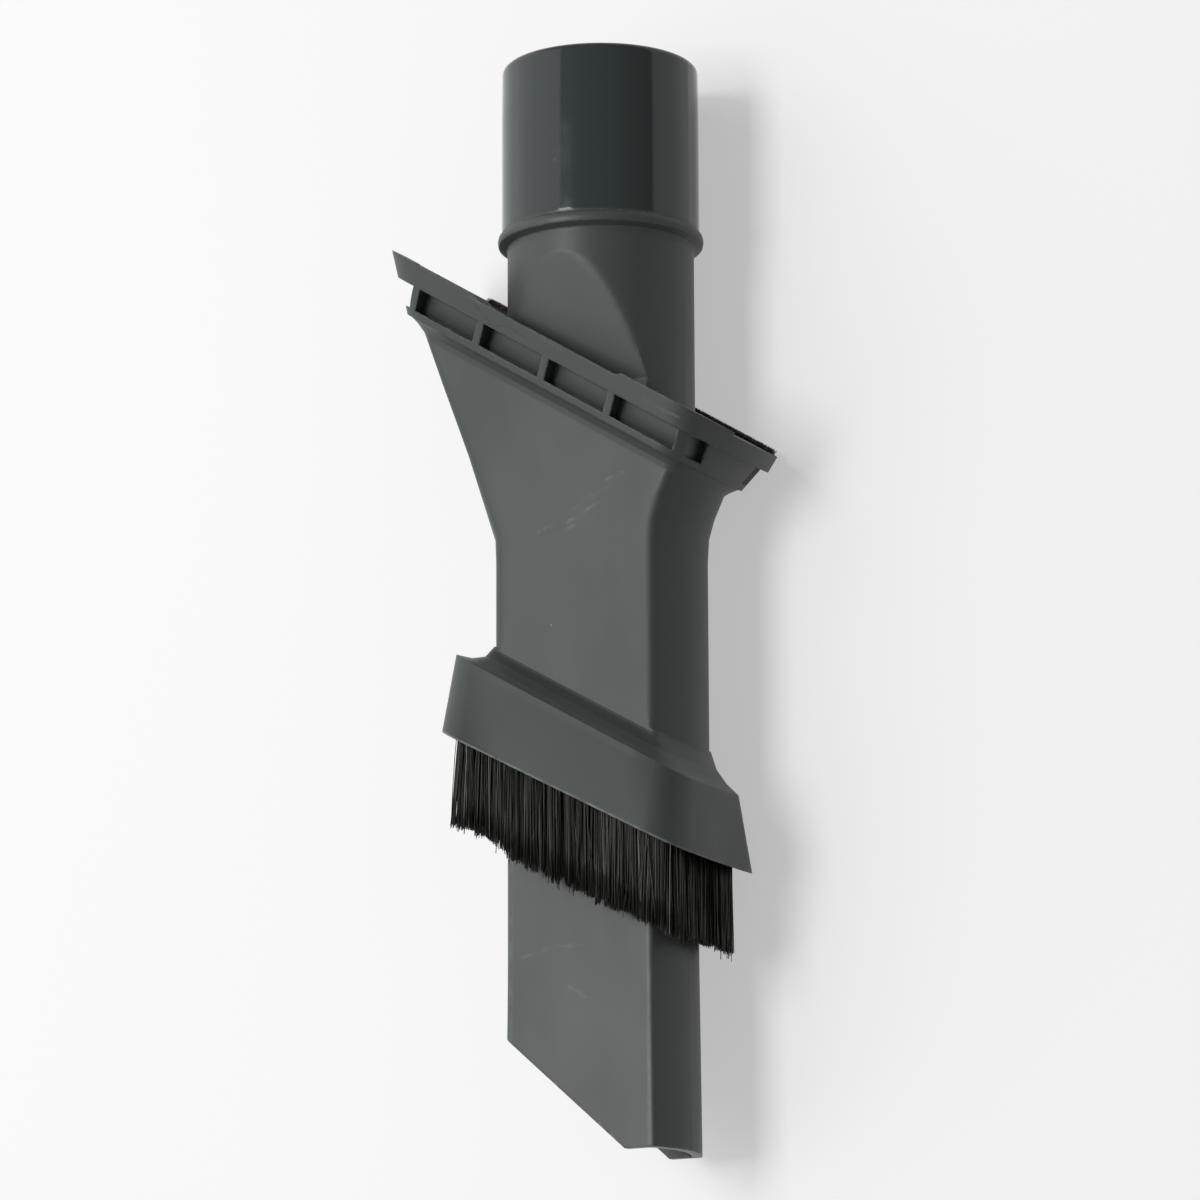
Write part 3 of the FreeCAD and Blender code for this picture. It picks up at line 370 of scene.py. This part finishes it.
BRISTLE_COLOURS = (
    (0.0, [0.004, 0.0045, 0.0032]),
    (0.5, [0.0085, 0.009, 0.006]),
    (0.8, [0.022, 0.0215, 0.0155]),
    (0.93, [0.060, 0.058, 0.044]),
    (1.0, [0.18, 0.175, 0.135]),
)
PILE_COLOURS = (
    (0.0, [0.045, 0.036, 0.028]),
    (0.55, [0.11, 0.088, 0.068]),
    (0.9, [0.22, 0.19, 0.15]),
    (1.0, [0.50, 0.46, 0.38]),
)
BACKING_COLOURS = (
    (0.0, [0.06, 0.048, 0.038]),
    (1.0, [0.10, 0.084, 0.068]),
)


def strands(name, colours, rough):
    """Fibres: every one has its own shade, which wavers a little along it."""
    look = Look(name)
    chance = look.add("ShaderNodeNewGeometry").outputs["Random Per Island"]
    ramp = look.add("ShaderNodeValToRGB", {0: chance})
    stops = ramp.color_ramp.elements
    stops[0].color = shade(colours[0][1])
    stops[1].color = shade(colours[-1][1])
    for at, colour in colours[1:-1]:
        stops.new(at).color = shade(colour)
    along = look.ramp(look.noise(700.0, 2.0, 0.5, look.stretched((1.0, 0.12, 1.0))), 0.3, 0.7, 0.75, 1.25)
    look.feed(look.vectors("MULTIPLY", ramp.outputs[0], along), "Base Color")
    look.bsdf.inputs["Roughness"].default_value = rough
    grain = {"Strength": 0.25, "Distance": 0.00005, "Height": look.noise(5000.0, 1.0)}
    look.feed(look.add("ShaderNodeBump", grain).outputs[0], "Normal")
    return look.mat


# Meshes, from points in millimetres

def link(obj):
    bpy.context.scene.collection.objects.link(obj)
    return obj


def mesh_piece(name, points, faces, material):
    mesh = bpy.data.meshes.new(name)
    mesh.from_pydata([p * MM for p in points], [], faces)
    mesh.materials.append(material)
    return link(bpy.data.objects.new(name, mesh))


class Tangle:
    """Collects thin three-sided fibres into one mesh."""

    def __init__(self):
        self.points = []
        self.faces = []

    def fibre(self, spine, radius, tip):
        """A fibre along its spine. Tip is the share of the radius that is left at the end."""
        start = len(self.points)
        last = len(spine) - 1
        axis = (spine[last] - spine[0]).normalized()
        side = axis.orthogonal().normalized()
        other = axis.cross(side)
        turn = random.random() * 2.1
        for step, at in enumerate(spine):
            r = radius * (1 + (tip - 1) * step / last)
            for k in range(3):
                a = turn + k * 2 * math.pi / 3
                self.points.append(at + (side * math.cos(a) + other * math.sin(a)) * r)
        for step in range(last):
            for k in range(3):
                a = start + step * 3 + k
                b = start + step * 3 + (k + 1) % 3
                self.faces.append((a, b, b + 3, a + 3))
        self.faces.append((start + last * 3, start + last * 3 + 1, start + last * 3 + 2))
        self.faces.append((start + 2, start + 1, start))

    def piece(self, name, material, slot, body, *stands_for):
        obj = mesh_piece(name, self.points, self.faces, material)
        obj.data.shade_smooth()
        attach(obj, body)
        if stands_for:
            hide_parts(*stands_for)


# Bristles in millimetres: the groove's floor and the cut ends at the middle, and how steeply they slant

GROOVE_Y = -126.4
GROOVE_SLOPE = math.tan(math.radians(29.2))
TRIM_Y = -151.5
TRIM_SLOPE = 0.505

# The ring's inner and outer outline: reach to the left and to the right, half depth and corner radius
INNER = (20.1, 19.12, 11.78, 2.7)
OUTER = (22.85, 20.2, 13.3, 4.3)

# Tufts in each of the two rings, strands in a pair of tufts, and clumps in which a tuft's ends gather
TUFTS = 40
TUFT_STRANDS = 140
CLUMPS = 3

# The least and most radius of a strand, and the share of it that is left at the strand's end
STRAND_RADIUS = (0.085, 0.14)
STRAND_TIP = 0.7

# Left of this place the ends rise over a short run, because bunches there have been bent short
BENT_X = -11.5
BENT_RUN = 2.5
BENT_RISE = 1.9


def ring_at(share, width):
    """A point of the groove's ring and its outward direction.

    Share goes once round the ring, and width goes from its inner outline at 0 to its outer one at 1.
    """
    left, right, half, corner = (a + (b - a) * width for a, b in zip(INNER, OUTER))
    long = left + right - 2 * corner
    short = 2 * (half - corner)
    arc = corner * math.pi / 2
    at = share * (2 * long + 2 * short + 4 * arc)
    starts = (
        (corner - left, half, 1, 0),
        (right, half - corner, 0, -1),
        (right - corner, -half, -1, 0),
        (-left, corner - half, 0, 1),
    )
    centres = (
        (right - corner, half - corner, 90),
        (right - corner, corner - half, 0),
        (corner - left, corner - half, -90),
        (corner - left, half - corner, -180),
    )
    for quarter in range(4):
        run = long if quarter % 2 == 0 else short
        x, z, dx, dz = starts[quarter]
        if at < run:
            return Vector((x + dx * at, 0, z + dz * at)), Vector((-dz, 0, dx))
        at -= run
        if at < arc:
            cx, cz, first = centres[quarter]
            turn = math.radians(first - 90 * at / arc)
            out = Vector((math.cos(turn), 0, math.sin(turn)))
            return Vector((cx, 0, cz)) + out * corner, out
        at -= arc
    return ring_at(0, width)


def row_of(out):
    if abs(out.z) > 0.6:
        return "bristles_near" if out.z > 0 else "bristles_far"
    return "bristles_right" if out.x > 0 else "bristles_left"


def trim(x):
    """Height of the cut ends."""
    bent = min(1.0, max(0.0, (BENT_X - x) / BENT_RUN))
    return TRIM_Y - TRIM_SLOPE * x + BENT_RISE * bent


def flare(out):
    """How much the strands open out on the side that faces this way."""
    if out.x < -0.6:
        return 0.075
    return 0.0 if out.x > 0.5 else 0.02


def stray(spread, odds):
    """An offset that only a few strands have."""
    return random.gauss(0, spread) if random.random() < odds else 0


def bowed(root, lean, bow, length, steps=4):
    """A line from a root along a lean, bowed between its ends."""
    shares = [step / steps for step in range(steps + 1)]
    return [root + lean * (length * t) + bow * (4 * t * (1 - t)) for t in shares]


def make_bristles(material):
    """Tufts in two staggered rings. Each opens out from its root and ends in a few pointed clumps."""
    random.seed(11)
    rows = {name: Tangle() for name in ("bristles_near", "bristles_far", "bristles_left", "bristles_right")}
    left, right, half, corner = OUTER
    pitch = 2 * (left + right + 2 * half - 2 * corner) / TUFTS + math.tau * corner / TUFTS
    for tuft in range(2 * TUFTS):
        outside = tuft % 2
        sway = random.gauss(0, 0.012)
        push = random.gauss(0.0, 0.010)
        clumps = [(random.gauss(0, 0.32), random.gauss(0, 0.012)) for _ in range(CLUMPS)]
        for strand in range(TUFT_STRANDS // 2):
            off = random.uniform(-0.5, 0.5)
            share = ((tuft / 2 + off * 0.86) / TUFTS) % 1.0
            width = random.uniform(0.42, 1.0) if outside else random.uniform(0.0, 0.6)
            root, out = ring_at(share, width)
            along = Vector((out.z, 0, -out.x))
            place = min(CLUMPS - 1, int((off + 0.5) * CLUMPS))
            cut, side = clumps[place]
            middle = (place + 0.5) / CLUMPS - 0.5
            ragged = abs(random.gauss(0, 0.3)) + stray(0.9, 0.04)
            end_y = trim(root.x) + cut + ragged + 0.9 * abs(off - middle) * CLUMPS
            root.y = GROOVE_Y - GROOVE_SLOPE * root.x
            length = root.y - end_y
            spread = (middle * 1.12 + (off - middle) * 0.55 - off * 0.86) * pitch / length
            across = random.gauss(0, 0.012) + stray(0.05, 0.06)
            outwards = flare(out) * width + push + random.gauss(0, 0.01)
            lean = along * (sway + side + spread + across) + out * outwards
            lean.y = -1
            bow = along * random.gauss(0, 0.14) + out * random.gauss(0, 0.12)
            line = bowed(root, lean, bow, length)
            rows[row_of(out)].fibre(line, random.uniform(*STRAND_RADIUS), STRAND_TIP)
    for name, tangle in rows.items():
        tangle.piece(name + "_strands", material, "dark_bristle", "sleeve", name)


# The strip of pile on the far lip, in millimetres. It stops a little inside the lip's rounded right end.

STRIP_SHORT = 0.9
STRIP_ALONG = Vector((math.cos(HEAD_TILT), -math.sin(HEAD_TILT), 0))
STRIP_UP = Vector((math.sin(HEAD_TILT), math.cos(HEAD_TILT), 0))
NEAR = Vector((0, 0, 1))
BACKING_DROP = 0.75
BACKING_INSET = 0.02
BACKING_STEPS = 60
BEVEL_DROP = 0.3
BEVEL_INSET = 0.35
PILE_FIBRES = 9000
FIBRE_LENGTH = (0.7, 1.05)
FIBRE_RADIUS = (0.035, 0.06)
FIBRE_TIP = 0.5


def on_strip(s, t, z):
    """The point at s along the strip, t up from the lip and z towards the near side."""
    return STRIP_ALONG * s + STRIP_UP * t + NEAR * z


def strip_limits():
    """Lowest and highest s, t and z of the strip, from its solid."""
    points = [v.co / MM for v in nodes["lint_strip"].data.vertices]
    s = [p.dot(STRIP_ALONG) for p in points]
    t = [p.dot(STRIP_UP) for p in points]
    z = [p.z for p in points]
    return (min(s), max(s) - STRIP_SHORT), (min(t), max(t)), (min(z), max(z))


def make_backing(material):
    """The strip's backing, with bevelled edges and a slightly wavy top."""
    (s0, s1), (t0, t1), (z0, z1) = strip_limits()
    top = t1 - BACKING_DROP
    profile = [
        (z0 + BACKING_INSET, t0),
        (z0 + BACKING_INSET, top - BEVEL_DROP),
        (z0 + BEVEL_INSET, top),
        (z1 - BEVEL_INSET, top),
        (z1 - BACKING_INSET, top - BEVEL_DROP),
        (z1 - BACKING_INSET, t0),
    ]
    points = []
    faces = []
    for i in range(BACKING_STEPS + 1):
        s = s0 + 0.05 + (s1 - s0 - 0.1) * i / BACKING_STEPS
        wave = 0.05 * math.sin(i * 1.7) + 0.04 * math.sin(i * 4.1)
        points += [on_strip(s, t + (wave if t > t0 else 0), z) for z, t in profile]
    n = len(profile)
    for i in range(BACKING_STEPS):
        for k in range(n):
            a = i * n + k
            b = i * n + (k + 1) % n
            faces.append((a, a + n, b + n, b))
    faces.append(tuple(range(n)))
    faces.append(tuple(reversed(range(BACKING_STEPS * n, BACKING_STEPS * n + n))))
    pad = mesh_piece("lint_strip_backing", points, faces, material)
    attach(pad, "sleeve")
    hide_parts("lint_strip")


def make_pile(material):
    """Short fibres all over the backing. They lean along the strip, and outwards at its edges."""
    random.seed(7)
    (s0, s1), (t0, t1), (z0, z1) = strip_limits()
    pile = Tangle()
    for i in range(PILE_FIBRES):
        s = random.uniform(s0 + 0.1, s1 - 0.4)
        z = random.uniform(z0 + 0.1, z1 - 0.1)
        root = on_strip(s, t1 - BACKING_DROP - 0.1, z)
        edge = (z - (z0 + z1) / 2) / ((z1 - z0) / 2)
        forwards = random.gauss(0.35, 0.25)
        outwards = 0.25 * edge + random.gauss(0, 0.15)
        lean = STRIP_UP + STRIP_ALONG * forwards + NEAR * outwards
        lean.normalize()
        tip = root + lean * random.uniform(*FIBRE_LENGTH)
        tip.z = min(max(tip.z, z0 - 0.3), z1 + 0.3)
        middle = (root + tip) / 2 + STRIP_ALONG * 0.04
        pile.fibre([root, middle, tip], random.uniform(*FIBRE_RADIUS), FIBRE_TIP)
    pile.piece("lint_strip_pile", material, "brown_pile", "sleeve")


# The studio

FLOOR_SEEN = (0.57, 0.59)
FLOOR_UNSEEN = 0.36
FLOOR_OWN_WHITE = 0.44
ROOM_COLOUR = (0.16, 0.168, 0.158, 1)

# The camera: its turns in degrees, and its lens in pixels of the photograph
PHOTO_WIDTH = 1200
FOCAL_LENGTH = 5750
LENS_SHIFT = -2.15
SENSOR_WIDTH = 36
CAMERA_SWING = 26.93
CAMERA_DIP = 12.45
CAMERA_ROLL = 0.23
CAMERA_AIM = (0, -0.098, 0)
CAMERA_DISTANCE = 1.0196


def floor_look():
    """A white floor. To the camera and in gloss, part of its white is its own and the rest takes shadows."""
    look = Look("studio_floor")
    path = look.add("ShaderNodeLightPath").outputs
    seen = look.maths("MAXIMUM", path["Is Camera Ray"], path["Is Glossy Ray"])
    seen = look.maths("MAXIMUM", seen, path["Is Transmission Ray"])
    cloud = look.ramp(look.noise(3.0, 2.0), 0.3, 0.7)
    low, high = FLOOR_SEEN
    shown = look.mix(cloud, shade([low] * 3), shade([high] * 3))
    look.feed(look.mix(seen, shade([FLOOR_UNSEEN] * 3), shown), "Base Color")
    look.bsdf.inputs["Roughness"].default_value = 0.9
    look.bsdf.inputs["Specular IOR Level"].default_value = 0.0
    look.bsdf.inputs["Emission Color"].default_value = (1, 1, 1, 1)
    look.feed(look.times(seen, FLOOR_OWN_WHITE), "Emission Strength")
    return look.mat


def make_floor(lowest):
    bpy.ops.mesh.primitive_plane_add(size=8, location=(0, -0.1, lowest - 0.0001))
    floor = bpy.context.object
    floor.name = "studio_floor"
    floor.data.materials.append(floor_look())


def softbox(name, direction, width, height, power, aim, distance=1.3):
    data = bpy.data.lights.new(name, "AREA")
    data.shape = "RECTANGLE"
    data.size = width
    data.size_y = height
    data.energy = power
    lamp = link(bpy.data.objects.new(name, data))
    away = Vector(direction).normalized()
    lamp.location = Vector(aim) + away * distance
    lamp.rotation_euler = away.to_track_quat("Z", "Y").to_euler()


def make_lights():
    """A softbox before the near face, a large dim panel on the left that shows in gloss, and a faint room."""
    softbox("softbox_front", (-0.24, 0.0, 0.96), width=0.63, height=0.36, power=8.6, aim=(0, -0.008, 0))
    softbox("panel_left", (-0.80, 0.08, 0.526), width=2.15, height=1.77, power=11.2, aim=(0, -0.09, 0))
    world = bpy.data.worlds.new("studio_world")
    world.use_nodes = True
    world.node_tree.nodes["Background"].inputs["Color"].default_value = ROOM_COLOUR
    bpy.context.scene.world = world


def make_camera():
    """The photograph's viewpoint, azimuth 64 and elevation 60.5 degrees, with a long lens at one metre."""
    swing = math.radians(CAMERA_SWING)
    dip = math.radians(CAMERA_DIP)
    roll = math.radians(CAMERA_ROLL)
    across = Vector((math.cos(swing), 0, -math.sin(swing)))
    upright = Vector((math.sin(swing) * math.sin(dip), math.cos(dip), math.cos(swing) * math.sin(dip)))
    back = Vector((math.sin(swing) * math.cos(dip), -math.sin(dip), math.cos(swing) * math.cos(dip)))
    right = across * math.cos(roll) - upright * math.sin(roll)
    up = across * math.sin(roll) + upright * math.cos(roll)
    data = bpy.data.cameras.new("camera")
    data.sensor_width = SENSOR_WIDTH
    data.lens = FOCAL_LENGTH / PHOTO_WIDTH * SENSOR_WIDTH
    data.shift_x = LENS_SHIFT / PHOTO_WIDTH
    data.clip_end = 20
    camera = link(bpy.data.objects.new("camera", data))
    stand = Matrix((right, up, back)).transposed().to_4x4()
    stand.translation = Vector(CAMERA_AIM) + back * CAMERA_DISTANCE
    camera.matrix_world = stand
    bpy.context.scene.camera = camera


def dress(node, material):
    mesh = nodes[node].data
    mesh.materials.clear()
    mesh.materials.append(material)


dress("crevice_nozzle", nozzle_plastic())
dress("sleeve", sleeve_plastic())
bristle = strands("dark_bristle", BRISTLE_COLOURS, 0.4)
pile = strands("brown_pile", PILE_COLOURS, 0.7)
backing = strands("pile_backing", BACKING_COLOURS, 0.8)
make_bristles(bristle)
make_backing(backing)
make_pile(pile)
make_camera()
make_lights()
make_floor(cad_box[0].z)

scene = bpy.context.scene
scene.view_settings.view_transform = "Standard"
